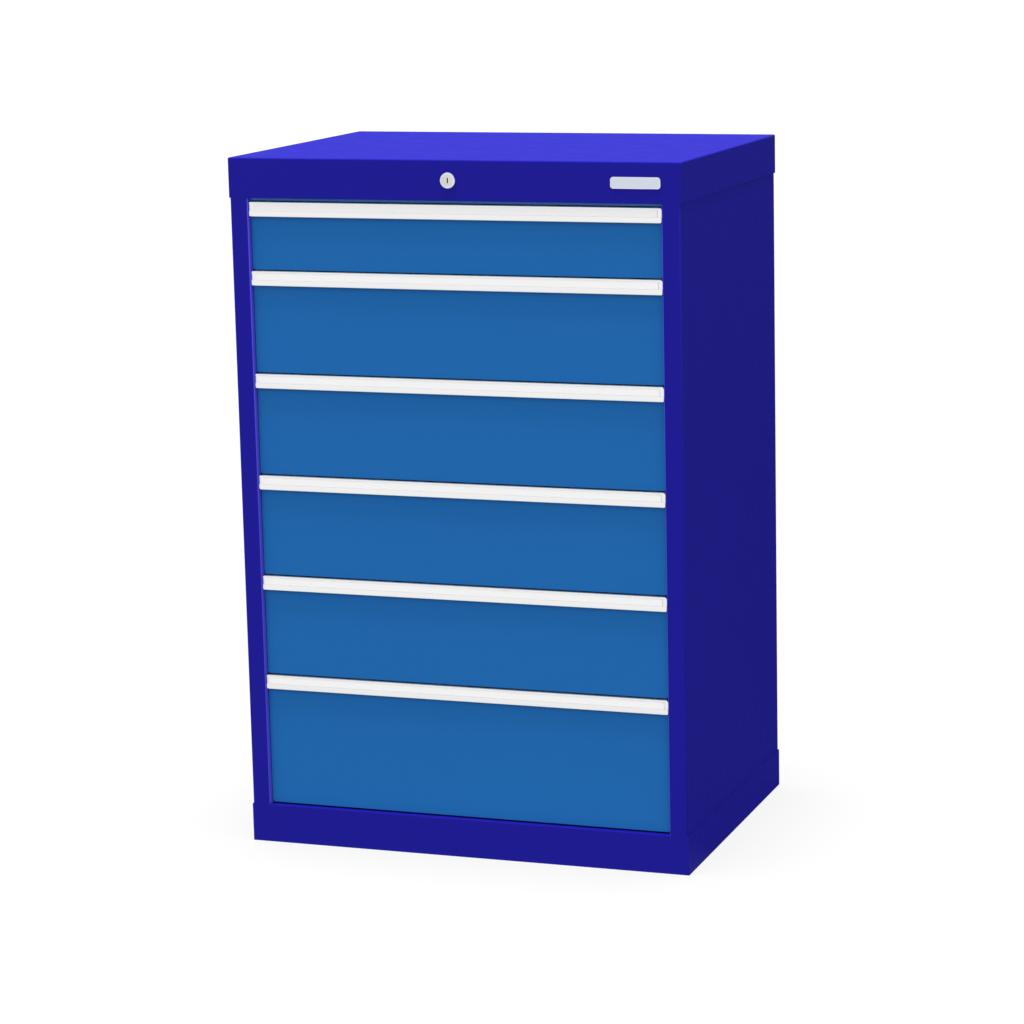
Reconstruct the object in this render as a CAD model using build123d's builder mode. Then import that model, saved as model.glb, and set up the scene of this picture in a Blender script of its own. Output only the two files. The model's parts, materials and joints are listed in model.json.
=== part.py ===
from build123d import *
from math import cos, radians, sin
import os

os.makedirs("parts", exist_ok=True)

# Sizes are in millimetres. X runs to the right, Y to the back and Z up.
# The origin is on the floor, in the middle of the footprint.

# Carcass
width = 680.0
depth = 493.0
base_height = 57.0
cover_height = 58.0
top_gap = 4.0
sheet = 1.5
bend = 2.0
post_width = 27.0
post_return = 24.0
post_lip = 12.0
rear_flange = 27.0
cover_return = 5.5
base_edge = 0.4
base_flange = 70.0
anchor_inset = 50.0
anchor_hole = 11.0
anchor_access = 24.0
back_sheet = 1.25
back_side_gap = 1.0
back_ribs = 3
back_rib_depth = 2.5
back_rib_height = 26.0
back_rib_inset = 60.0
back_rib_end = 8.0
back_rib_edge = 1.0

# Rows of drawers, from the top one to the bottom one
row_heights = [100.0, 150.0, 150.0, 150.0, 150.0, 200.0]
row_gap = 1.5
sill_gap = 2.7
side_gap = 1.2
face_set = 8.5
front_thick = 20.0
front_corner = 4.0
front_flange = 15.0
drawer_sheet = 1.25

# Closing rail under the cover's front
rail_height = 17.0
rail_foot = 22.0
rail_gap = 1.0

# Handle extrusion with its label strip
handle_set = 2.5
handle_gap = 1.0
handle_height = 21.5
handle_wall = 1.6
handle_corner = 3.0
handle_edge = 0.7
hook_drop = 9.0
hook_wall = 1.3
hook_fit = 0.1
label_rim = 2.4
label_height = 11.0
label_depth = 1.3
label_thick = 1.1
label_inset = 6.0
label_fit = 0.1

# Trays
rear_room = 62.0
tray_lift = 5.0
tray_drop = 18.0
hem_height = 8.0

# Telescopic slides
slide_height = 45.6
slide_width = 12.9
slide_set = 1.9
slide_level = 34.0
slide_gap = 0.3
slide_play = 0.6
slide_pass = 0.8
slide_inset = 2.5
slide_sheet = 1.2
slide_tail = 20.0

# Slotted uprights and the hooks that hang in their slots
upright_width = 30.0
upright_front = 48.0
upright_rear = 412.0
upright_headroom = 25.0
slot_pitch = 50.0
slot_height = 12.0
slot_width = 4.0
hook_size = 10.0
hook_reach = 4.5
hook_side_fit = 0.4

# Lock
lock_x = -2.0
lock_drop = 29.0
lock_head = 22.6
lock_head_thick = 3.5
lock_head_edge = 0.8
lock_rim = 2.3
lock_rim_height = 0.6
lock_barrel = 18.0
lock_barrel_length = 24.0
lock_hole_fit = 0.1
plug_diameter = 12.0
plug_recess = 0.9
running_fit = 0.05
key_slot_width = 1.8
key_slot_height = 8.0
key_slot_depth = 10.0
nut_across_flats = 24.0
nut_thick = 5.0
shaft_diameter = 8.0
shaft_socket = 6.0
plug_tail = 10.0
crank_diameter = 30.0
crank_thick = 4.5
crank_radius = 10.0
crank_angle = 45.0
pin_diameter = 6.0
pin_length = 6.0
crank_gap = 1.5

# Locking bar, its teeth and the catches on the trays
bar_width = 16.0
bar_thick = 3.0
bar_offset = 8.5
bar_back_gap = 11.5
bar_head_width = 26.0
bar_head_height = 26.0
bar_head_corner = 2.0
bar_foot = 40.0
yoke_play = 0.45
yoke_overrun = 2.0
tooth_length = 21.5
tooth_height = 8.0
tooth_rest_gap = 1.5
catch_thick = 3.0
catch_reach = 23.0
catch_level = 36.0
catch_height = 24.0
catch_floor = 8.0
catch_hook = 5.0
catch_notch = 10.0
catch_offset = 13.5
catch_foot = 20.0
channel_width = 39.0
channel_headroom = 22.0
guide_fit = 0.3
guide_width = 12.0
guide_sheet = 1.5
guide_lift = 90.0

# Bearing bracket of the lock shaft
bearing_width = 36.0
bearing_drop = 44.0
bearing_foot = 25.0
bearing_back_gap = 22.0

# Name plate: bare, inside a raised rim
plate_side = 29.0
plate_drop = 29.3
plate_width = 73.0
plate_height = 16.6
plate_thick = 1.6
plate_corner = 4.5
plate_edge = 0.4
plate_rim = 1.4
plate_rim_height = 0.3

# Places worked out from the sizes above
front = -depth / 2
back = depth / 2
side_x = width / 2 - sheet
opening_x = side_x - post_width
apron_z = base_height + sum(row_heights) + top_gap
height = apron_z + cover_height
row_floors = [base_height + sum(row_heights[i + 1:]) for i in range(len(row_heights))]
handle_tops = [z + h - row_gap for z, h in zip(row_floors, row_heights)]
front_bottoms = [z if z > base_height else z + sill_gap for z in row_floors]

front_x = opening_x - side_gap
handle_x = opening_x - handle_gap
upright_x = opening_x + slide_set
tray_x = upright_x - slide_width
tray_front = front + face_set + front_thick
tray_back = back - rear_room
tray_depth = tray_back - tray_front
slide_front = tray_front + slide_inset
rail_length = tray_back - slide_front
cabinet_rail_length = rail_length + slide_tail
slide_levels = [z + slide_level for z in row_floors]

lock_z = height - lock_drop
bar_x = lock_x + bar_offset
bar_y = tray_back + bar_back_gap
pin_x = lock_x + crank_radius * cos(radians(crank_angle))
bar_rest_z = lock_z + crank_radius * sin(radians(crank_angle))
shaft_start = front + lock_barrel_length + plug_tail - shaft_socket
crank_y = bar_y - crank_gap - crank_thick
channel_y = bar_y + bar_thick + guide_fit
back_face = back - 2 * sheet - back_sheet
catch_levels = [z + catch_level for z in row_floors]
tooth_levels = [z + catch_height + tooth_rest_gap for z in catch_levels]


def facing(y):
    """The upright plane at this depth, seen from the front: X to the right, Z up."""
    return Plane.XZ.offset(-y)


def save(piece, name):
    """Label the finished piece and write it."""
    piece.part.label = name
    export_step(piece.part, f"parts/{name}.step")


def block(low, high, mode=Mode.ADD):
    """A box in the part in hand, from its lowest to its highest corner."""
    with Locations(tuple((a + b) / 2 for a, b in zip(low, high))):
        Box(*(b - a for a, b in zip(low, high)), mode=mode)


def folded(points, thick, radius, side=Side.LEFT):
    """Edge view of a folded sheet: one face runs along the points, the metal is on the side named."""
    with BuildSketch() as profile:
        with BuildLine():
            FilletPolyline(*points, radius=radius)
            offset(amount=thick, side=side)
        make_face()
    return profile.sketch


# Base plinth: a pan with its deck on top, its rim turned in underneath and four floor anchors
anchor_spacing = (width - 2 * anchor_inset, depth - 2 * anchor_inset)
with BuildPart() as base_plinth:
    Box(width, depth, base_height, align=(Align.CENTER, Align.CENTER, Align.MIN))
    offset(amount=-sheet, openings=base_plinth.faces().sort_by(Axis.Z)[0])
    chamfer(base_plinth.edges().group_by(Axis.Z)[-1], base_edge)
    with BuildSketch():
        Rectangle(width - 2 * sheet, depth - 2 * sheet)
        Rectangle(width - 2 * base_flange, depth - 2 * base_flange, mode=Mode.SUBTRACT)
        with GridLocations(*anchor_spacing, 2, 2):
            Circle(anchor_hole / 2, mode=Mode.SUBTRACT)
    extrude(amount=sheet)
    with BuildSketch(Plane.XY.offset(base_height)):
        with GridLocations(*anchor_spacing, 2, 2):
            Rectangle(anchor_access, anchor_access)
    extrude(amount=-sheet, mode=Mode.SUBTRACT)
save(base_plinth, "base_plinth")


# Top cover: a folded pan that fits over the side panels, with the lock's hole in its front
with BuildPart() as top_cover:
    with Locations((0, 0, height)):
        Box(width, depth, cover_height, align=(Align.CENTER, Align.CENTER, Align.MAX))
    fillet(top_cover.edges().group_by(Axis.Z)[-1], bend)
    offset(amount=-sheet, openings=top_cover.faces().sort_by(Axis.Z)[0])
    with BuildSketch(Plane.XY.offset(apron_z)):
        with Locations((0, front + sheet + cover_return / 2)):
            Rectangle(2 * opening_x, cover_return)
    extrude(amount=sheet)
    with BuildSketch(facing(front)):
        with Locations((lock_x, lock_z)):
            Circle(lock_barrel / 2 + lock_hole_fit)
    extrude(amount=-sheet, mode=Mode.SUBTRACT)
save(top_cover, "top_cover")


# Side panels: one sheet each, folded round the front post and in again at the back
side_outline = [
    (opening_x + post_lip, front + post_return),
    (opening_x, front + post_return),
    (opening_x, front),
    (side_x, front),
    (side_x, back - sheet),
    (side_x - rear_flange, back - sheet),
]
with BuildPart() as right_side_panel:
    with BuildSketch(Plane.XY.offset(base_height)):
        add(folded(side_outline, sheet, bend))
    extrude(amount=height - bend - base_height)
    block((0, front - sheet, apron_z), (width / 2, front + bend, height), Mode.SUBTRACT)
save(right_side_panel, "right_side_panel")

with BuildPart() as left_side_panel:
    add(right_side_panel.part)
    mirror(about=Plane.YZ, mode=Mode.REPLACE)
save(left_side_panel, "left_side_panel")


# Back panel: lies inside the side panels' flanges, stiffened by pressed ribs
back_x = side_x - sheet - back_side_gap
rib_pitch = (apron_z - base_height) / (back_ribs + 1)
rib_places = [(0, base_height + rib_pitch * (i + 1)) for i in range(back_ribs)]
with BuildSketch() as rib_outlines:
    with Locations(*rib_places):
        Rectangle(2 * (back_x - back_rib_inset), back_rib_height)
    chamfer(rib_outlines.vertices(), back_rib_end)
with BuildPart() as back_panel:
    block((-back_x, back_face, base_height), (back_x, back_face + back_sheet, height - bend))
    with BuildSketch(facing(back_face + back_sheet)):
        add(rib_outlines.sketch)
    extrude(amount=-back_rib_depth)
    chamfer(back_panel.edges().group_by(Axis.Y)[-1], back_rib_edge)
    with BuildSketch(facing(back_face)):
        offset(rib_outlines.sketch, amount=-back_sheet)
    extrude(amount=-back_rib_depth, mode=Mode.SUBTRACT)
save(back_panel, "back_panel")


# Closing rail behind the cover's front, between the two posts
rail_bottom = apron_z - top_gap - row_gap + rail_gap
rail_outline = [
    (front + face_set + rail_foot, rail_bottom),
    (front + face_set, rail_bottom),
    (front + face_set, rail_bottom + rail_height),
]
with BuildPart() as front_cross_rail:
    with BuildSketch(Plane.YZ):
        add(folded(rail_outline, sheet, bend, Side.RIGHT))
    extrude(amount=opening_x, both=True)
save(front_cross_rail, "front_cross_rail")


# Slotted uprights: four channels between the side panels and the slides
wall_x = side_x - sheet
upright_depths = [front + upright_front, front + upright_rear]
upright_top = apron_z - upright_headroom
slot_levels = [slide_levels[-1] + slot_pitch * i for i in range(int(sum(row_heights) / slot_pitch))]
with BuildPart() as slide_uprights:
    for side in (-1, 1):
        for y in upright_depths:
            outline = [
                (side * wall_x, y - upright_width / 2),
                (side * upright_x, y - upright_width / 2),
                (side * upright_x, y + upright_width / 2),
                (side * wall_x, y + upright_width / 2),
            ]
            with BuildSketch(Plane.XY.offset(base_height)):
                with BuildLine():
                    Polyline(*outline)
                    metal_side = Side.LEFT if side < 0 else Side.RIGHT
                    offset(amount=sheet, side=metal_side, kind=Kind.INTERSECTION)
                make_face()
            extrude(amount=upright_top - base_height)
    for y in upright_depths:
        with BuildSketch(Plane.YZ):
            with Locations(*((y, z) for z in slot_levels if z < upright_top - slot_height)):
                Rectangle(slot_width, slot_height)
        extrude(amount=upright_x + 2 * sheet, both=True, mode=Mode.SUBTRACT)
save(slide_uprights, "slide_uprights")


def channel(side, web_x, lip_x, half_height, level, length, start):
    """One slide member: a channel lying along Y, its web at web_x and its lips ending at lip_x."""
    inward = slide_sheet if lip_x > web_x else -slide_sheet
    with BuildPart() as member:
        with BuildSketch(facing(start)):
            with BuildLine():
                Polyline(
                    (side * lip_x, level - half_height),
                    (side * web_x, level - half_height),
                    (side * web_x, level + half_height),
                    (side * lip_x, level + half_height),
                    (side * lip_x, level + half_height - slide_sheet),
                    (side * (web_x + inward), level + half_height - slide_sheet),
                    (side * (web_x + inward), level - half_height + slide_sheet),
                    (side * lip_x, level - half_height + slide_sheet),
                    close=True,
                )
            make_face()
        extrude(amount=-length)
    return member.part


# Fixed slide members, hung in the slots of the uprights
outer_half = slide_height / 2
middle_half = outer_half - slide_sheet - slide_gap
inner_half = middle_half - slide_sheet - slide_gap
middle_web = opening_x - slide_pass
middle_lip = tray_x + slide_sheet + slide_play
inner_lip = middle_web - slide_sheet - slide_play
outer_lip = middle_lip + 2 * slide_play
with BuildPart() as cabinet_rails:
    for side in (-1, 1):
        for level in slide_levels:
            add(channel(side, upright_x, outer_lip, outer_half, level, cabinet_rail_length, slide_front))
            for y in upright_depths:
                half_width = slot_width / 2 - hook_side_fit
                hook = sorted((side * upright_x, side * (upright_x + hook_reach)))
                block(
                    (hook[0], y - half_width, level - hook_size / 2),
                    (hook[1], y + half_width, level + hook_size / 2),
                )
save(cabinet_rails, "cabinet_rails")


def drawer_front(number, bottom, top):
    """A front panel: a shallow pan open at the back and top, with flanges that meet the tray."""
    with BuildPart() as panel:
        with BuildSketch(facing(front + face_set)) as outline:
            with Locations((0, (bottom + top) / 2)):
                Rectangle(2 * front_x, top - bottom)
            fillet(outline.vertices().group_by(Axis.Y)[0], front_corner)
        extrude(amount=-front_thick)
        open_faces = [panel.faces().sort_by(Axis.Y)[-1], panel.faces().sort_by(Axis.Z)[-1]]
        offset(amount=-drawer_sheet, openings=open_faces)
        inner_x = front_x - drawer_sheet
        for side in (-1, 1):
            ends = sorted((side * (inner_x - front_flange), side * inner_x))
            block(
                (ends[0], tray_front - drawer_sheet, bottom + front_corner),
                (ends[1], tray_front, top),
            )
        block(
            (-front_x, front + face_set + drawer_sheet, top - hook_drop),
            (front_x, tray_front, top),
            Mode.SUBTRACT,
        )
    save(panel, f"drawer_{number}_front")


def drawer_handle(number, top):
    """The handle: an extrusion hooked over the front panel's top edge, hollowed for a label."""
    face = front + handle_set
    web = face + label_depth
    sheet_front = front + face_set - hook_fit
    sheet_back = front + face_set + drawer_sheet + hook_fit
    label_top = top - label_rim
    label_bottom = label_top - label_height
    ceiling = top - handle_wall
    with BuildPart() as handle:
        with BuildSketch(Plane.YZ) as profile:
            with BuildLine():
                Polyline(
                    (face, top),
                    (face, label_top),
                    (web, label_top),
                    (web, label_bottom),
                    (face, label_bottom),
                    (face, top - handle_height),
                    (face + handle_wall, top - handle_height),
                    (face + handle_wall, label_bottom - handle_wall),
                    (web + handle_wall, label_bottom - handle_wall + label_depth),
                    (web + handle_wall, ceiling),
                    (sheet_front - hook_wall, ceiling),
                    (sheet_front - hook_wall, top - hook_drop),
                    (sheet_front, top - hook_drop),
                    (sheet_front, ceiling),
                    (sheet_back, ceiling),
                    (sheet_back, top - hook_drop),
                    (sheet_back + hook_wall, top - hook_drop),
                    (sheet_back + hook_wall, top),
                    close=True,
                )
            make_face()
            chamfer(profile.vertices().group_by(Axis.Y)[0], handle_edge)
            chamfer(profile.vertices().group_by(Axis.Y)[-1], handle_edge)
        extrude(amount=handle_x, both=True)
        with BuildSketch(facing(front)):
            with Locations((0, top - handle_height / 2)):
                RectangleRounded(2 * handle_x, handle_height, handle_corner)
        extrude(amount=-front_thick, mode=Mode.INTERSECT)
    save(handle, f"drawer_{number}_handle")

    with BuildPart() as label:
        with BuildSketch(facing(web)):
            with Locations((0, (label_top + label_bottom) / 2)):
                Rectangle(2 * (handle_x - label_inset), label_height - 2 * label_fit)
        extrude(amount=label_thick)
    save(label, f"drawer_{number}_label_strip")


def drawer_tray(number, bottom, top):
    """The tray: an open sheet box with a hemmed rim."""
    middle = (tray_front + tray_back) / 2
    with BuildPart() as tray:
        with Locations((0, middle, (bottom + top) / 2)):
            Box(2 * tray_x, tray_depth, top - bottom)
        offset(amount=-drawer_sheet, openings=tray.faces().sort_by(Axis.Z)[-1])
        with BuildSketch(Plane.XY.offset(top)):
            with Locations((0, middle)):
                Rectangle(2 * (tray_x + drawer_sheet), tray_depth)
                Rectangle(2 * tray_x, tray_depth, mode=Mode.SUBTRACT)
        extrude(amount=-hem_height)
    save(tray, f"drawer_{number}_tray")


def drawer_slides(number, level):
    """The two moving members on each side: one on the tray, one between it and the fixed member."""
    with BuildPart() as rails:
        for side in (-1, 1):
            add(channel(side, tray_x, inner_lip, inner_half, level, rail_length, slide_front))
    save(rails, f"drawer_{number}_rails")

    with BuildPart() as middles:
        for side in (-1, 1):
            add(channel(side, middle_web, middle_lip, middle_half, level, rail_length, slide_front))
    save(middles, f"drawer_{number}_middle_rails")


def drawer_catch(number, level):
    """The catch behind the tray: an angle whose arm is notched for a tooth of the locking bar."""
    arm_x = bar_x + bar_width / 2 + catch_offset
    tooth_y = bar_y + bar_thick / 2
    notch_front = tooth_y - catch_notch / 2
    with BuildPart() as catch:
        with BuildSketch(Plane.YZ.offset(arm_x)):
            with BuildLine():
                Polyline(
                    (tray_back, level),
                    (tray_back + catch_reach, level),
                    (tray_back + catch_reach, level + catch_height),
                    (notch_front + catch_notch, level + catch_height),
                    (notch_front + catch_notch, level + catch_floor),
                    (notch_front, level + catch_floor),
                    (notch_front - catch_hook, level + catch_height),
                    (tray_back, level + catch_height),
                    close=True,
                )
            make_face()
        extrude(amount=catch_thick)
        block(
            (arm_x - catch_foot, tray_back, level),
            (arm_x, tray_back + catch_thick, level + catch_height),
        )
    save(catch, f"drawer_{number}_catch")


for i, floor in enumerate(row_floors):
    number = i + 1
    panel_top = handle_tops[i] - handle_wall
    drawer_front(number, front_bottoms[i], panel_top)
    drawer_handle(number, handle_tops[i])
    drawer_tray(number, floor + tray_lift, floor + row_heights[i] - tray_drop)
    drawer_slides(number, slide_levels[i])
    drawer_catch(number, catch_levels[i])


# Lock: a housing through the cover's front, its nut behind and a plug that the key turns
barrel_end = front + lock_barrel_length
with BuildPart() as lock_housing:
    with BuildSketch(facing(front)):
        with Locations((lock_x, lock_z)):
            Circle(lock_head / 2)
    extrude(amount=lock_head_thick)
    chamfer(lock_housing.edges().group_by(Axis.Y)[0], lock_head_edge)
    with BuildSketch(facing(front - lock_head_thick)):
        with Locations((lock_x, lock_z)):
            Circle(lock_head / 2 - lock_rim)
    extrude(amount=-lock_rim_height, mode=Mode.SUBTRACT)
    with BuildSketch(facing(front)):
        with Locations((lock_x, lock_z)):
            Circle(lock_barrel / 2)
    extrude(amount=-lock_barrel_length)
    with BuildSketch(facing(front - lock_head_thick)):
        with Locations((lock_x, lock_z)):
            Circle(plug_diameter / 2 + running_fit)
    extrude(amount=-lock_barrel_length - lock_head_thick, mode=Mode.SUBTRACT)
save(lock_housing, "lock_housing")

with BuildPart() as lock_nut:
    with BuildSketch(facing(front + sheet)):
        with Locations((lock_x, lock_z)):
            RegularPolygon(nut_across_flats / 2, 6, major_radius=False)
            Circle(lock_barrel / 2 + running_fit, mode=Mode.SUBTRACT)
    extrude(amount=-nut_thick)
save(lock_nut, "lock_nut")

plug_face = front - lock_head_thick + plug_recess
with BuildPart() as lock_rotor:
    with BuildSketch(facing(plug_face)):
        with Locations((lock_x, lock_z)):
            Circle(plug_diameter / 2)
    extrude(amount=plug_face - barrel_end - plug_tail)
    with BuildSketch(facing(plug_face)):
        with Locations((lock_x, lock_z)):
            SlotOverall(key_slot_height, key_slot_width, rotation=90)
    extrude(amount=-key_slot_depth, mode=Mode.SUBTRACT)
    with BuildSketch(facing(barrel_end + plug_tail)):
        with Locations((lock_x, lock_z)):
            Circle(shaft_diameter / 2 + running_fit)
    extrude(amount=shaft_socket, mode=Mode.SUBTRACT)
save(lock_rotor, "lock_rotor")


# Lock shaft: carries the turn to a crank at the back, whose pin drives the locking bar
with BuildPart() as lock_shaft:
    with BuildSketch(facing(shaft_start)):
        with Locations((lock_x, lock_z)):
            Circle(shaft_diameter / 2)
    extrude(amount=shaft_start - crank_y)
    with BuildSketch(facing(crank_y)):
        with Locations((lock_x, lock_z)):
            Circle(crank_diameter / 2)
    extrude(amount=-crank_thick)
    with BuildSketch(facing(crank_y + crank_thick)):
        with Locations((pin_x, bar_rest_z)):
            Circle(pin_diameter / 2)
    extrude(amount=-pin_length)
save(lock_shaft, "lock_shaft")

bearing_y = bar_y - bearing_back_gap
bearing_outline = [
    (bearing_y - bearing_foot, height - sheet),
    (bearing_y, height - sheet),
    (bearing_y, height - sheet - bearing_drop),
]
with BuildPart() as shaft_bearing:
    with BuildSketch(Plane.YZ.offset(lock_x)):
        add(folded(bearing_outline, sheet, bend, Side.RIGHT))
    extrude(amount=bearing_width / 2, both=True)
    with BuildSketch(facing(bearing_y + bend)):
        with Locations((lock_x, lock_z)):
            Circle(shaft_diameter / 2 + running_fit)
    extrude(amount=2 * bend + sheet, mode=Mode.SUBTRACT)
save(shaft_bearing, "shaft_bearing")


# Locking bar: a flat strip that drops when the lock turns, headed by the yoke for the crank pin
bar_low = base_height + bar_foot
with BuildPart() as locking_bar:
    with BuildSketch(facing(bar_y)):
        with Locations((bar_x, (bar_low + bar_rest_z) / 2)):
            Rectangle(bar_width, bar_rest_z - bar_low)
        with Locations((bar_x, bar_rest_z)):
            RectangleRounded(bar_head_width, bar_head_height, bar_head_corner)
            yoke_length = lock_x + crank_radius - pin_x + pin_diameter + 2 * yoke_overrun
            SlotOverall(yoke_length, pin_diameter + 2 * yoke_play, mode=Mode.SUBTRACT)
    extrude(amount=-bar_thick)
save(locking_bar, "locking_bar")

with BuildPart() as locking_teeth:
    with BuildSketch(facing(bar_y)):
        tooth_x = bar_x + bar_width / 2 + tooth_length / 2
        with Locations(*((tooth_x, z + tooth_height / 2) for z in tooth_levels)):
            Rectangle(tooth_length, tooth_height)
    extrude(amount=-bar_thick)
save(locking_teeth, "locking_teeth")

channel_outline = [
    (bar_x - channel_width / 2, back_face),
    (bar_x - channel_width / 2, channel_y),
    (bar_x + channel_width / 2, channel_y),
    (bar_x + channel_width / 2, back_face),
]
with BuildPart() as lock_channel:
    with BuildSketch(Plane.XY.offset(base_height)):
        add(folded(channel_outline, sheet, bend))
    extrude(amount=apron_z - channel_headroom - base_height)
save(lock_channel, "lock_channel")

guide_half = bar_width / 2 + guide_fit
guide_front = bar_y - guide_fit
guide_outline = [
    (bar_x - channel_width / 2 + bend, channel_y),
    (bar_x - guide_half, channel_y),
    (bar_x - guide_half, guide_front),
    (bar_x + guide_half, guide_front),
    (bar_x + guide_half, channel_y),
    (bar_x + channel_width / 2 - bend, channel_y),
]
with BuildPart() as bar_guides:
    for floor in row_floors[1::2]:
        with BuildSketch(Plane.XY.offset(floor + guide_lift)):
            with BuildLine():
                Polyline(*guide_outline)
                offset(amount=guide_sheet, side=Side.RIGHT, kind=Kind.INTERSECTION)
            make_face()
        extrude(amount=guide_width)
save(bar_guides, "bar_guides")


# Name plate on the cover's front
plate_x = width / 2 - plate_side - plate_width / 2
with BuildPart() as name_plate:
    with BuildSketch(facing(front)):
        with Locations((plate_x, height - plate_drop)):
            RectangleRounded(plate_width, plate_height, plate_corner)
    extrude(amount=plate_thick)
    chamfer(name_plate.edges().group_by(Axis.Y)[0], plate_edge)
    with BuildSketch(facing(front - plate_thick)):
        with Locations((plate_x, height - plate_drop)):
            RectangleRounded(
                plate_width - 2 * plate_rim, plate_height - 2 * plate_rim, plate_corner - plate_rim
            )
    extrude(amount=-plate_rim_height, mode=Mode.SUBTRACT)
save(name_plate, "name_plate")
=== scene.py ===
import json
import math

import bmesh
import bpy
from mathutils import Matrix, Vector


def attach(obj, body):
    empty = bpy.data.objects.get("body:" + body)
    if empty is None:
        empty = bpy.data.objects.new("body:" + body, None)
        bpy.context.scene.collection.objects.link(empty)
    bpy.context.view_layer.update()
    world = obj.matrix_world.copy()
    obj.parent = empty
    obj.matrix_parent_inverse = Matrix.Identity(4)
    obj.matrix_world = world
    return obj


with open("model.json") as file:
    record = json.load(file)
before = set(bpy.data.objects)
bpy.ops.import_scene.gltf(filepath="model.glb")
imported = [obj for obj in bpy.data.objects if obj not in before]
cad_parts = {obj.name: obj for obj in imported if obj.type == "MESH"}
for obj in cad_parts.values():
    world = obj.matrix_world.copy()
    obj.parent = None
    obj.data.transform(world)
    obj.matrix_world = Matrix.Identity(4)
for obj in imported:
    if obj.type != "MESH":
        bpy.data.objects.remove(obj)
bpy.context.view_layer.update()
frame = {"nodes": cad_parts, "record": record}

MM = 0.001

# The rows of drawers, from the top down, and the base under them, in millimetres
ROW_HEIGHTS = [100.0, 150.0, 150.0, 150.0, 150.0, 200.0]
BASE = 57.0
ROW_FLOORS = [BASE + sum(ROW_HEIGHTS[i + 1:]) for i in range(len(ROW_HEIGHTS))]
DRAWERS = [f"drawer_{i + 1}" for i in range(len(ROW_HEIGHTS))]

# Colours as they look on the cabinet's front, 0 to 255
BODY_BLUE = (25, 22, 138)
# Painted highlight on the folds of the posts beside the drawers
FOLD_HIGHLIGHT_BLUE = (78, 76, 208)
# Painted shade on the base's ledge, darker so that its lit top shows no bright line
LEDGE_SHADE_BLUE = (15, 13, 102)
BODY_RUBBED = (40, 37, 162)
DRAWER_BLUE = (28, 97, 164)
DRAWER_RUBBED = (58, 122, 184)
# Paler copy of the drawer paint on the front cross rail: painted light that lifts the shade in its
# recess
RAIL_LIFTED_BLUE = (72, 126, 196)
TRAY_BLUE = (24, 82, 146)
HANDLE_WHITE = (243, 243, 243)
LABEL_WHITE = (235, 235, 235)
PLATE_GREY = (212, 219, 231)
# Painted highlight on the name plate's raised rim
PLATE_RIM_HIGHLIGHT = (228, 228, 244)
LOCK_NICKEL = (216, 218, 211)
# Painted highlight on the lock head's raised rim
LOCK_RIM_HIGHLIGHT = (230, 230, 253)
# Painted shade inside the plug's key slot
KEY_SLOT_SHADE_GREY = (84, 82, 90)
ZINC = (196, 199, 205)
RUBBED_METAL = (250, 250, 250)
RUBBED_ZINC = (168, 169, 172)
PAINT_GLOSS = 0.05

# Where the painted highlights and painted shade lie on the coats and metals, in metres: a band is a
# middle and its reach to each side, and a blend runs from its first value to its second
FOLD_BAND_X = (0.3118, 0.0007)
FOLD_BLEND_Y = (-0.233, -0.231)
FOLD_BAND_Z = (0.509, 0.4515)
LEDGE_START_X = 0.3384
LEDGE_BAND_Z = (0.0569, 0.00035)
PLATE_RIM_BLEND_Y = (-0.24804, -0.24796)
KEY_SLOT_BLEND_Y = (-0.24905, -0.24885)
LOCK_AXIS_X = -0.002
LOCK_AXIS_Z = 0.99
LOCK_RIM_BLEND = (0.0088, 0.0091)

# Rubbed edges: how far the surface turns where the wear starts and where it is full, and the share
# of it that is left between the patches
EDGE_SAMPLES = 6
EDGE_TURN_START = 0.02
EDGE_TURN_FULL = 0.3
EDGE_WEAR_LEFT = 0.1

# Drawn lines and grain of the metals, in features per metre along each axis, how far their
# roughness strays, and the share of the zinc's tone that its crystals make
HANDLE_LINES = (6.0, 2600.0, 2600.0)
PLATE_LINES = (14.0, 2600.0, 2600.0)
NICKEL_GRAIN = (900.0, 900.0, 900.0)
ZINC_LINES = (900.0, 12.0, 900.0)
ROUGHNESS_STRAY = 0.05
CRYSTAL_SHARE = 0.35

# Light: from the whole sky and more from its front, from a soft sun overhead, and back from the
# floor, whose strength of its own keeps it white
SKY = 1.08
SKY_FRONT = 0.36
SUN = 6.5
SUN_ELEVATION = 89.0
SUN_AZIMUTH = -25.0
SUN_SPREAD = 24.0
FLOOR_BOUNCE = 0.6
FLOOR_SHADE = 0.08
FLOOR_LIFT = 0.78
FLOOR_REACH = 40.0

# What reflections show: bright in front and overhead, dark elsewhere, and where one fades to the
# other, in metres on the floor and in the direction's share in the sky
BRIGHT_MIRROR = 1.0
DARK_SKY_MIRROR = 0.26
DARK_FLOOR_MIRROR = 0.0
FLOOR_MIRROR_BLEND_Y = (-0.7, -0.1)
SKY_MIRROR_BLEND_Y = (-0.6, -0.1)
SKY_MIRROR_BLEND_Z = (0.6, 0.9)

# The camera stands in front and to the right, and looks down a little
CAMERA_PLACE = (1.6265, -4.4770, 1.3937)
CAMERA_AZIMUTH = 18.4522
CAMERA_ELEVATION = 10.9187
CAMERA_ROLL = -0.9977
PICTURE_WIDTH = 1024
FOCAL_PIXELS = 3217.3
AXIS_PIXEL = (600, 506)
SENSOR_WIDTH = 36.0


def linear(colour):
    """A colour of 0 to 255 as the linear RGBA that Blender's sockets take."""
    channels = [c / 255 for c in colour]
    return [c / 12.92 if c <= 0.04045 else ((c + 0.055) / 1.055) ** 2.4 for c in channels] + [1.0]


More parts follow.
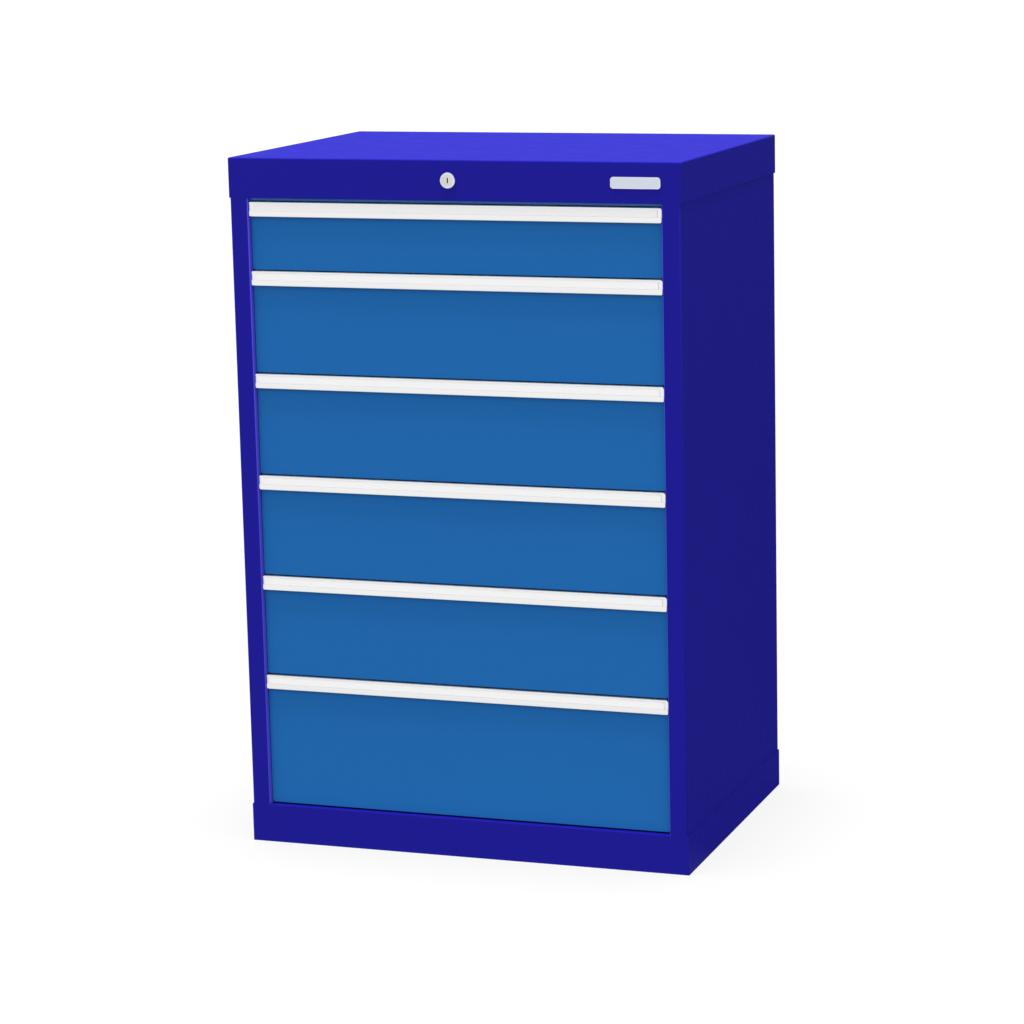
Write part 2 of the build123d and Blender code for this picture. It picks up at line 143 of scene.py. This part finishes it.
class Nodes:
    """A node tree with short ways to add nodes and join them."""

    def __init__(self, data):
        self.data = data
        self.data.use_nodes = True
        self.tree = data.node_tree

    def add(self, kind, **values):
        """A new node: inputs are set by name or number, and links are made from sockets."""
        node = self.tree.nodes.new(kind)
        for key, value in values.pop("inputs", {}).items():
            self.put(node.inputs[key], value)
        for key, value in values.items():
            setattr(node, key, value)
        return node

    def put(self, socket, value):
        """Links a socket to another, or sets its value."""
        if isinstance(value, bpy.types.NodeSocket):
            self.tree.links.new(value, socket)
        else:
            socket.default_value = value

    def maths(self, operation, *values):
        """One step of arithmetic."""
        inputs = dict(enumerate(values))
        return self.add("ShaderNodeMath", operation=operation, inputs=inputs).outputs[0]

    def split(self, vector):
        """A vector's X, Y and Z."""
        return self.add("ShaderNodeSeparateXYZ", inputs={0: vector}).outputs

    def ranged(self, value, low, high, start=0.3, end=0.7):
        """A value from start to end, taken to low to high."""
        inputs = {"Value": value, "From Min": start, "From Max": end, "To Min": low, "To Max": high}
        return self.add("ShaderNodeMapRange", inputs=inputs).outputs[0]

    def mixed(self, factor, low, high):
        """From low to high with the factor."""
        return self.add("ShaderNodeMix", inputs={"Factor": factor, "A": low, "B": high}).outputs[0]


class Material(Nodes):
    """A material on the principled shader, laid out in the object's own coordinates."""

    def __init__(self, name):
        super().__init__(bpy.data.materials.new(name))
        self.shader = self.tree.nodes["Principled BSDF"]
        self.place = self.add("ShaderNodeTexCoord").outputs["Object"]

    def stretched(self, scale):
        """The object's coordinates, scaled along each axis."""
        inputs = {"Vector": self.place, "Scale": scale}
        return self.add("ShaderNodeMapping", inputs=inputs).outputs[0]

    def noise(self, scale, detail=2.0, roughness=0.5, place=None):
        """Noise from 0 to 1, at a scale in features per metre."""
        where = place or self.place
        inputs = {"Vector": where, "Scale": scale, "Detail": detail, "Roughness": roughness}
        return self.add("ShaderNodeTexNoise", inputs=inputs).outputs[0]

    def tinted(self, colour, value, low, high):
        """The colour, darker or lighter with a value."""
        shade = self.ranged(value, low, high)
        node = self.add("ShaderNodeMix", data_type="RGBA", blend_type="MULTIPLY")
        self.put(node.inputs["Factor"], 1.0)
        self.put(node.inputs["A"], linear(colour))
        self.put(node.inputs["B"], shade)
        return node.outputs["Result"]

    def painted(self, factor, colour, second):
        """From one colour to a second with the factor."""
        node = self.add("ShaderNodeMix", data_type="RGBA")
        self.put(node.inputs["Factor"], factor)
        self.put(node.inputs["A"], colour)
        self.put(node.inputs["B"], linear(second))
        return node.outputs["Result"]

    def edge(self, width):
        """1 along the edges, on a strip width metres wide, and 0 on the faces between them."""
        rounding = self.add("ShaderNodeBevel", samples=EDGE_SAMPLES, inputs={"Radius": width})
        geometry = self.add("ShaderNodeNewGeometry")
        inputs = {0: rounding.outputs[0], 1: geometry.outputs["Normal"]}
        turn = self.add("ShaderNodeVectorMath", operation="DOT_PRODUCT", inputs=inputs)
        return self.ranged(
            turn.outputs["Value"], low=1.0, high=0.0,
            start=1.0 - EDGE_TURN_FULL, end=1.0 - EDGE_TURN_START)

    def worn(self, colour, second, width, most):
        """The colour, rubbed towards a second along the edges, in uneven patches."""
        patches = self.noise(scale=45.0, detail=5.0, roughness=0.7)
        share = self.ranged(patches, low=EDGE_WEAR_LEFT * most, high=most, start=0.35, end=0.65)
        return self.painted(self.maths("MULTIPLY", self.edge(width), share), colour, second)

    def bump(self, height, strength, distance, normal=None):
        """A bump from a height of 0 to 1, distance metres tall."""
        inputs = {"Height": height, "Strength": strength, "Distance": distance}
        if normal:
            inputs["Normal"] = normal
        return self.add("ShaderNodeBump", inputs=inputs).outputs[0]

    def finish(self, **inputs):
        """Sets the shader's own sockets and gives the material."""
        for key, value in inputs.items():
            self.put(self.shader.inputs[key.replace("_", " ")], value)
        return self.data


def fold_highlight_mask(m):
    """1 on the narrow folds of the posts beside the drawers, which get a painted highlight: a pale
    strip that stands in for light catching the fold.
    """
    x, y, z = m.split(m.place)
    fold = m.maths("COMPARE", m.maths("ABSOLUTE", x), *FOLD_BAND_X)
    ahead = m.ranged(y, 1.0, 0.0, *FOLD_BLEND_Y)
    between = m.maths("COMPARE", z, *FOLD_BAND_Z)
    return m.maths("MULTIPLY", fold, m.maths("MULTIPLY", ahead, between))


def ledge_shade_mask(m):
    """1 on the narrow ledge of the base beside the side panels, which gets painted shade that takes
    away the light its top catches.
    """
    x, _, z = m.split(m.place)
    aside = m.maths("GREATER_THAN", m.maths("ABSOLUTE", x), LEDGE_START_X)
    return m.maths("MULTIPLY", aside, m.maths("COMPARE", z, *LEDGE_BAND_Z))


def plate_rim_highlight_mask(m):
    """1 on the name plate's raised rim, 0 on its recessed face; the rim gets a painted highlight.
    """
    return m.ranged(m.split(m.place)["Y"], 1.0, 0.0, *PLATE_RIM_BLEND_Y)


def key_slot_shade_mask(m):
    """1 inside the plug's key slot, which gets painted shade."""
    return m.ranged(m.split(m.place)["Y"], 0.0, 1.0, *KEY_SLOT_BLEND_Y)


def lock_rim_highlight_mask(m):
    """1 on the lock head's raised rim, 0 on its face; the rim gets a painted highlight."""
    x, _, z = m.split(m.place)
    across = m.maths("ADD", x, -LOCK_AXIS_X)
    rise = m.maths("ADD", z, -LOCK_AXIS_Z)
    flat = m.add("ShaderNodeCombineXYZ", inputs={0: across, 2: rise}).outputs[0]
    radius = m.add("ShaderNodeVectorMath", operation="LENGTH", inputs={0: flat}).outputs["Value"]
    return m.ranged(radius, 0.0, 1.0, *LOCK_RIM_BLEND)


def powder_coat(name, colour, rubbed, fold=None, ledge=None):
    """Satin powder coat on sheet steel: orange peel, faint clouding, slow waves, rubbed edges."""
    m = Material(name)
    peel = m.noise(scale=620.0, detail=3.0, roughness=0.55)
    waves = m.noise(scale=5.0, detail=1.0)
    clouds = m.noise(scale=2.6, detail=3.0)
    grain = m.noise(scale=2400.0, detail=1.0)
    sheen = m.noise(scale=38.0, detail=4.0)
    normal = m.bump(waves, strength=0.01, distance=0.0004)
    normal = m.bump(peel, strength=0.2, distance=0.00004, normal=normal)
    normal = m.bump(grain, strength=0.2, distance=0.00001, normal=normal)
    paint = m.worn(m.tinted(colour, clouds, low=0.99, high=1.01), rubbed, width=0.0009, most=0.5)
    if fold:
        # Painted highlight on the folds of the posts beside the drawers
        paint = m.painted(fold_highlight_mask(m), paint, fold)
        # Painted shade on the base's ledge beside the side panels
        paint = m.painted(ledge_shade_mask(m), paint, ledge)
    return m.finish(
        Base_Color=paint,
        Roughness=m.ranged(sheen, low=0.42, high=0.48),
        Specular_IOR_Level=PAINT_GLOSS,
        Normal=normal,
    )


def brushed_metal(name, colour, roughness, lines, depth, second=None, mask=None):
    """Metal with fine drawn lines and an uneven sheen, in a second colour where the mask is 1."""
    m = Material(name)
    grain = m.noise(scale=1.0, detail=4.0, roughness=0.6, place=m.stretched(lines))
    clouds = m.noise(scale=9.0, detail=2.0)
    tint = m.tinted(colour, clouds, low=0.985, high=1.0)
    metal = m.worn(tint, RUBBED_METAL, width=0.0005, most=0.4)
    # Where the mask is 1: painted highlight on the rims of the plate and lock, painted shade in the
    # key slot
    if mask:
        metal = m.painted(mask(m), metal, second)
    return m.finish(
        Base_Color=metal,
        Metallic=1.0,
        Roughness=m.ranged(grain, roughness - ROUGHNESS_STRAY, roughness + ROUGHNESS_STRAY),
        Normal=m.bump(grain, strength=0.25, distance=depth),
    )


def zinc_steel(name, colour):
    """Zinc-plated sheet steel: small crystals of uneven brightness, rolling lines, dull patches."""
    m = Material(name)
    crystals = m.add("ShaderNodeTexVoronoi", inputs={"Vector": m.place, "Scale": 260.0})
    crystal = m.add("ShaderNodeSeparateColor", inputs={"Color": crystals.outputs["Color"]})
    rolling = m.noise(scale=1.0, detail=3.0, place=m.stretched(ZINC_LINES))
    handling = m.noise(scale=24.0, detail=5.0, roughness=0.65)
    tone = m.mixed(CRYSTAL_SHARE, handling, crystal.outputs[0])
    tint = m.tinted(colour, tone, low=0.9, high=1.02)
    return m.finish(
        Base_Color=m.worn(tint, RUBBED_ZINC, width=0.0008, most=0.7),
        Metallic=0.55,
        Roughness=m.ranged(tone, low=0.38, high=0.52),
        Specular_IOR_Level=0.3,
        Normal=m.bump(rolling, strength=0.2, distance=0.00003),
    )


def label_stock(name, colour):
    """Matt white label strip: paper grain under a smooth film."""
    m = Material(name)
    fibres = m.noise(scale=1500.0, detail=4.0, roughness=0.7)
    return m.finish(
        Base_Color=m.tinted(colour, fibres, low=0.985, high=1.0),
        Roughness=m.ranged(fibres, low=0.5, high=0.6),
        Specular_IOR_Level=0.25,
        Normal=m.bump(fibres, strength=0.15, distance=0.00002),
    )


body_paint = powder_coat("body_paint_blue", BODY_BLUE, BODY_RUBBED, FOLD_HIGHLIGHT_BLUE, LEDGE_SHADE_BLUE)
drawer_paint = powder_coat("drawer_paint_blue", DRAWER_BLUE, DRAWER_RUBBED)
# Painted light: the cross rail's paint is paler to lift the shade in its recess
rail_paint = powder_coat("rail_paint_blue", RAIL_LIFTED_BLUE, DRAWER_RUBBED)
tray_paint = powder_coat("tray_paint_blue", TRAY_BLUE, DRAWER_RUBBED)
handle_metal = brushed_metal(
    "handle_anodised", HANDLE_WHITE, roughness=0.42, lines=HANDLE_LINES, depth=0.00002)
# The name plate's rim gets a painted highlight
plate_metal = brushed_metal(
    "plate_satin", PLATE_GREY, roughness=0.38, lines=PLATE_LINES, depth=0.00002,
    second=PLATE_RIM_HIGHLIGHT, mask=plate_rim_highlight_mask)
lock_metal = brushed_metal(
    "lock_nickel", LOCK_NICKEL, roughness=0.34, lines=NICKEL_GRAIN, depth=0.00001,
    second=LOCK_RIM_HIGHLIGHT, mask=lock_rim_highlight_mask)
# The plug's key slot gets painted shade
plug_metal = brushed_metal(
    "plug_nickel", LOCK_NICKEL, roughness=0.34, lines=NICKEL_GRAIN, depth=0.00001,
    second=KEY_SLOT_SHADE_GREY, mask=key_slot_shade_mask)
zinc = zinc_steel("zinc_plate", ZINC)
label_paper = label_stock("label_paper", LABEL_WHITE)

SLOT_MATERIALS = {
    "body_paint": body_paint,
    "drawer_paint": drawer_paint,
    "handle_aluminium": handle_metal,
    "label_plastic": label_paper,
    "plate_aluminium": plate_metal,
    "lock_chrome": lock_metal,
    "zinc_steel": zinc,
}

# Pieces that look different from the rest of their slot; the front cross rail's paler paint is
# painted light that lifts the shade in its recess
OWN_MATERIALS = {"front_cross_rail": rail_paint, "lock_rotor": plug_metal}
OWN_MATERIALS.update({f"{drawer}_tray": tray_paint for drawer in DRAWERS})

# Rounding of the sharp edges that bending, extruding and coating leave, in millimetres
EDGE_ROUNDS = {
    "body_paint": 0.35,
    "drawer_paint": 0.45,
    "handle_aluminium": 0.25,
    "plate_aluminium": 0.15,
}
JOIN_REACH = 1e-6
ROUND_SEGMENTS = 2
SHARP_ANGLE = 40


def soften(piece, width):
    """Rounds a piece's edges, once its faces are joined."""
    weld = piece.modifiers.new("join", "WELD")
    weld.merge_threshold = JOIN_REACH
    bevel = piece.modifiers.new("edge_round", "BEVEL")
    bevel.width = width
    bevel.segments = ROUND_SEGMENTS
    bevel.limit_method = "ANGLE"
    bevel.angle_limit = math.radians(SHARP_ANGLE)
    bevel.use_clamp_overlap = True
    bevel.harden_normals = False


for part in frame["record"]["subparts"]:
    piece = frame["nodes"][part["node"]]
    slot = part["material_slot"]
    piece.data.materials.clear()
    piece.data.materials.append(OWN_MATERIALS.get(part["node"]) or SLOT_MATERIALS[slot])
    if slot in EDGE_ROUNDS:
        soften(piece, EDGE_ROUNDS[slot] * MM)


# Rivet heads and the pressed beads of the slides, in millimetres. A head's outline is given as
# shares of its radius and of its height, from its foot to its hollow
HEAD_SIDES = 18
HEAD_PROFILE = [
    (1.0, 0.0), (1.0, 0.22), (0.9, 0.6), (0.66, 0.88), (0.38, 1.0), (0.3, 0.9), (0.26, 0.5)]

# Down both flanges of the back panel
BACK_RIVET_X = 325.0
BACK_RIVET_Y = 245.0
BACK_RIVET_LOWEST = 107.0
BACK_RIVET_PITCH = 118.0
BACK_RIVETS = 8
BACK_RIVET_RADIUS = 3.4
BACK_RIVET_HEIGHT = 1.3

# Along the moving slide members
SLIDE_LEVEL = 34.0
SLIDE_FRONT = -215.5
SLIDE_LENGTH = 400.0
SLIDE_RIVET_X = 301.7
SLIDE_RIVET_START = 25.0
SLIDE_RIVET_PITCH = 70.0
SLIDE_RIVETS = 6
SLIDE_RIVET_RADIUS = 3.4
SLIDE_RIVET_HEIGHT = 1.2

# On the inside of a tray's front wall, above its floor and below its row's top
TRAY_RIVET_X = 295.6
TRAY_RIVET_Y = -216.75
TRAY_RIVET_ABOVE = 22.0
TRAY_RIVET_BELOW = 34.0
TRAY_RIVET_RADIUS = 3.0
TRAY_RIVET_HEIGHT = 1.1

# Along the middle slide members, above and below the slide's level
BEAD_X = 310.7
BEAD_RISE = 9.0
BEAD_INSET = 18.0
BEAD_WIDTH = 5.0
BEAD_HEIGHT = 0.6
BEAD_STEPS = 6


def ring(mesh, centre, across, up, radius):
    """A ring of vertices round a centre."""
    vertices = []
    for k in range(HEAD_SIDES):
        t = 2 * math.pi * k / HEAD_SIDES
        offset = radius * (across * math.cos(t) + up * math.sin(t))
        vertices.append(mesh.verts.new((centre + offset) * MM))
    return vertices


def join(mesh, first, second):
    """Faces between two closed rows of vertices."""
    for k in range(len(first)):
        n = (k + 1) % len(first)
        mesh.faces.new((first[k], first[n], second[n], second[k]))


def skin(mesh, rows):
    """A closed skin over rows of vertices, with a face at each end."""
    for first, second in zip(rows, rows[1:]):
        join(mesh, first, second)
    mesh.faces.new(rows[0][::-1])
    mesh.faces.new(rows[-1])


def rivet(mesh, foot, outward, radius, height):
    """A blind rivet's head: low dome, with the hollow that its pulled pin leaves in the middle."""
    foot, outward, up = Vector(foot), Vector(outward), Vector((0, 0, 1))
    across = up.cross(outward)
    rows = [
        ring(mesh, foot + outward * (h * height), across, up, r * radius) for r, h in HEAD_PROFILE]
    skin(mesh, rows)


def bead(mesh, foot, outward, length):
    """A long low bead pressed in a slide's web, running back from its foot, with rounded ends."""
    foot, outward = Vector(foot), Vector(outward)
    half = BEAD_WIDTH / 2
    turns = [math.pi / 2 * k / BEAD_STEPS for k in range(1, BEAD_STEPS + 1)]
    stations = [(half * (1 - math.cos(t)), math.sin(t)) for t in turns]
    stations += [(length - along, size) for along, size in reversed(stations)]
    rows = []
    for along, size in stations:
        row = []
        for k in range(BEAD_STEPS + 1):
            t = math.pi * k / BEAD_STEPS
            place = foot + Vector((0, along, size * half * math.cos(t)))
            place += outward * (BEAD_HEIGHT * size * math.sin(t))
            row.append(mesh.verts.new(place * MM))
        rows.append(row)
    skin(mesh, rows)


def piece_of(mesh, name, body):
    """The finished piece in zinc-plated steel, riding on its body."""
    bmesh.ops.recalc_face_normals(mesh, faces=mesh.faces)
    data = bpy.data.meshes.new(name)
    mesh.to_mesh(data)
    mesh.free()
    for polygon in data.polygons:
        polygon.use_smooth = True
    data.materials.append(zinc)
    piece = bpy.data.objects.new(name, data)
    bpy.context.scene.collection.objects.link(piece)
    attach(piece, body)
    return piece


mesh = bmesh.new()
for side in (-1, 1):
    for k in range(BACK_RIVETS):
        foot = (side * BACK_RIVET_X, BACK_RIVET_Y, BACK_RIVET_LOWEST + k * BACK_RIVET_PITCH)
        rivet(mesh, foot, (0, 1, 0), BACK_RIVET_RADIUS, BACK_RIVET_HEIGHT)
piece_of(mesh, "back_panel_rivets", "cabinet")

for drawer, row_floor, row_height in zip(DRAWERS, ROW_FLOORS, ROW_HEIGHTS):
    level = row_floor + SLIDE_LEVEL
    wall_levels = (row_floor + TRAY_RIVET_ABOVE, row_floor + row_height - TRAY_RIVET_BELOW)
    mesh = bmesh.new()
    for side in (-1, 1):
        for k in range(SLIDE_RIVETS):
            along = SLIDE_FRONT + SLIDE_RIVET_START + k * SLIDE_RIVET_PITCH
            foot = (side * SLIDE_RIVET_X, along, level)
            rivet(mesh, foot, (side, 0, 0), SLIDE_RIVET_RADIUS, SLIDE_RIVET_HEIGHT)
        for wall_level in wall_levels:
            foot = (side * TRAY_RIVET_X, TRAY_RIVET_Y, wall_level)
            rivet(mesh, foot, (0, 1, 0), TRAY_RIVET_RADIUS, TRAY_RIVET_HEIGHT)
    piece_of(mesh, f"{drawer}_rivets", drawer)

    mesh = bmesh.new()
    for side in (-1, 1):
        for rise in (-BEAD_RISE, BEAD_RISE):
            foot = (side * BEAD_X, SLIDE_FRONT + BEAD_INSET, level + rise)
            bead(mesh, foot, (side, 0, 0), SLIDE_LENGTH - 2 * BEAD_INSET)
    piece_of(mesh, f"{drawer}_middle_beads", f"{drawer}_middles")


# Floor: white to the eye, with the cabinet's shadow; in reflections it is bright in front only
ground = Material("floor")
ground.tree.nodes.remove(ground.shader)
rays = ground.add("ShaderNodeLightPath").outputs
depth = ground.split(ground.place)["Y"]
mirror = ground.ranged(depth, BRIGHT_MIRROR, DARK_FLOOR_MIRROR, *FLOOR_MIRROR_BLEND_Y)
lit = ground.add("ShaderNodeBsdfDiffuse", inputs={"Color": [FLOOR_SHADE] * 3 + [1.0]})
lift = ground.add("ShaderNodeEmission", inputs={"Strength": FLOOR_LIFT})
seen = ground.add("ShaderNodeAddShader", inputs={0: lit.outputs[0], 1: lift.outputs[0]})
strength = ground.mixed(rays["Is Glossy Ray"], FLOOR_BOUNCE, mirror)
glow = ground.add("ShaderNodeEmission", inputs={"Strength": strength})
inputs = {0: rays["Is Camera Ray"], 1: glow.outputs[0], 2: seen.outputs[0]}
shown = ground.add("ShaderNodeMixShader", inputs=inputs)
ground.put(ground.tree.nodes["Material Output"].inputs["Surface"], shown.outputs[0])

floor_mesh = bpy.data.meshes.new("floor")
corners = [(-1, -1), (1, -1), (1, 1), (-1, 1)]
floor_corners = [(x * FLOOR_REACH, y * FLOOR_REACH, 0) for x, y in corners]
floor_mesh.from_pydata(floor_corners, [], [(0, 1, 2, 3)])
floor_mesh.materials.append(ground.data)
floor = bpy.data.objects.new("floor", floor_mesh)
bpy.context.scene.collection.objects.link(floor)

# Sky: even for light, bright in front and overhead for reflections, white behind the object
sky = Nodes(bpy.data.worlds.new("studio"))
rays = sky.add("ShaderNodeLightPath").outputs
direction = sky.split(sky.add("ShaderNodeTexCoord").outputs["Generated"])
ahead = sky.ranged(direction["Y"], 1.0, 0.0, *SKY_MIRROR_BLEND_Y)
above = sky.ranged(direction["Z"], 0.0, 1.0, *SKY_MIRROR_BLEND_Z)
bright = sky.maths("MAXIMUM", ahead, above)
mirror = sky.ranged(bright, DARK_SKY_MIRROR, BRIGHT_MIRROR, start=0.0, end=1.0)
even = sky.ranged(
    direction["Y"], SKY * (1 + SKY_FRONT), SKY * (1 - SKY_FRONT), start=-1.0, end=1.0)
unseen = sky.mixed(rays["Is Glossy Ray"], even, mirror)
background = sky.tree.nodes["Background"]
background.inputs["Color"].default_value = (1, 1, 1, 1)
sky.put(background.inputs["Strength"], sky.mixed(rays["Is Camera Ray"], unseen, 1.0))
bpy.context.scene.world = sky.data

sun_data = bpy.data.lights.new("sun", "SUN")
sun_data.energy = SUN
sun_data.angle = math.radians(SUN_SPREAD)
sun = bpy.data.objects.new("sun", sun_data)
bpy.context.scene.collection.objects.link(sun)
sun.visible_glossy = False
sun.rotation_euler = (math.radians(90 - SUN_ELEVATION), 0, math.radians(SUN_AZIMUTH))


# Camera
azimuth, elevation = math.radians(CAMERA_AZIMUTH), math.radians(CAMERA_ELEVATION)
forward = Vector((
    -math.sin(azimuth) * math.cos(elevation),
    math.cos(azimuth) * math.cos(elevation),
    -math.sin(elevation),
))
level_right = Vector((math.cos(azimuth), math.sin(azimuth), 0))
level_up = level_right.cross(forward)
roll = Matrix.Rotation(math.radians(CAMERA_ROLL), 3, -forward)
axes = Matrix((roll @ level_right, roll @ level_up, -forward)).transposed()
camera_data = bpy.data.cameras.new("camera")
camera_data.sensor_width = SENSOR_WIDTH
camera_data.lens = SENSOR_WIDTH * FOCAL_PIXELS / PICTURE_WIDTH
camera_data.shift_x = 0.5 - AXIS_PIXEL[0] / PICTURE_WIDTH
camera_data.shift_y = AXIS_PIXEL[1] / PICTURE_WIDTH - 0.5
camera = bpy.data.objects.new("camera", camera_data)
bpy.context.scene.collection.objects.link(camera)
camera.matrix_world = Matrix.Translation(CAMERA_PLACE) @ axes.to_4x4()
bpy.context.scene.camera = camera

bpy.context.scene.view_settings.view_transform = "Standard"
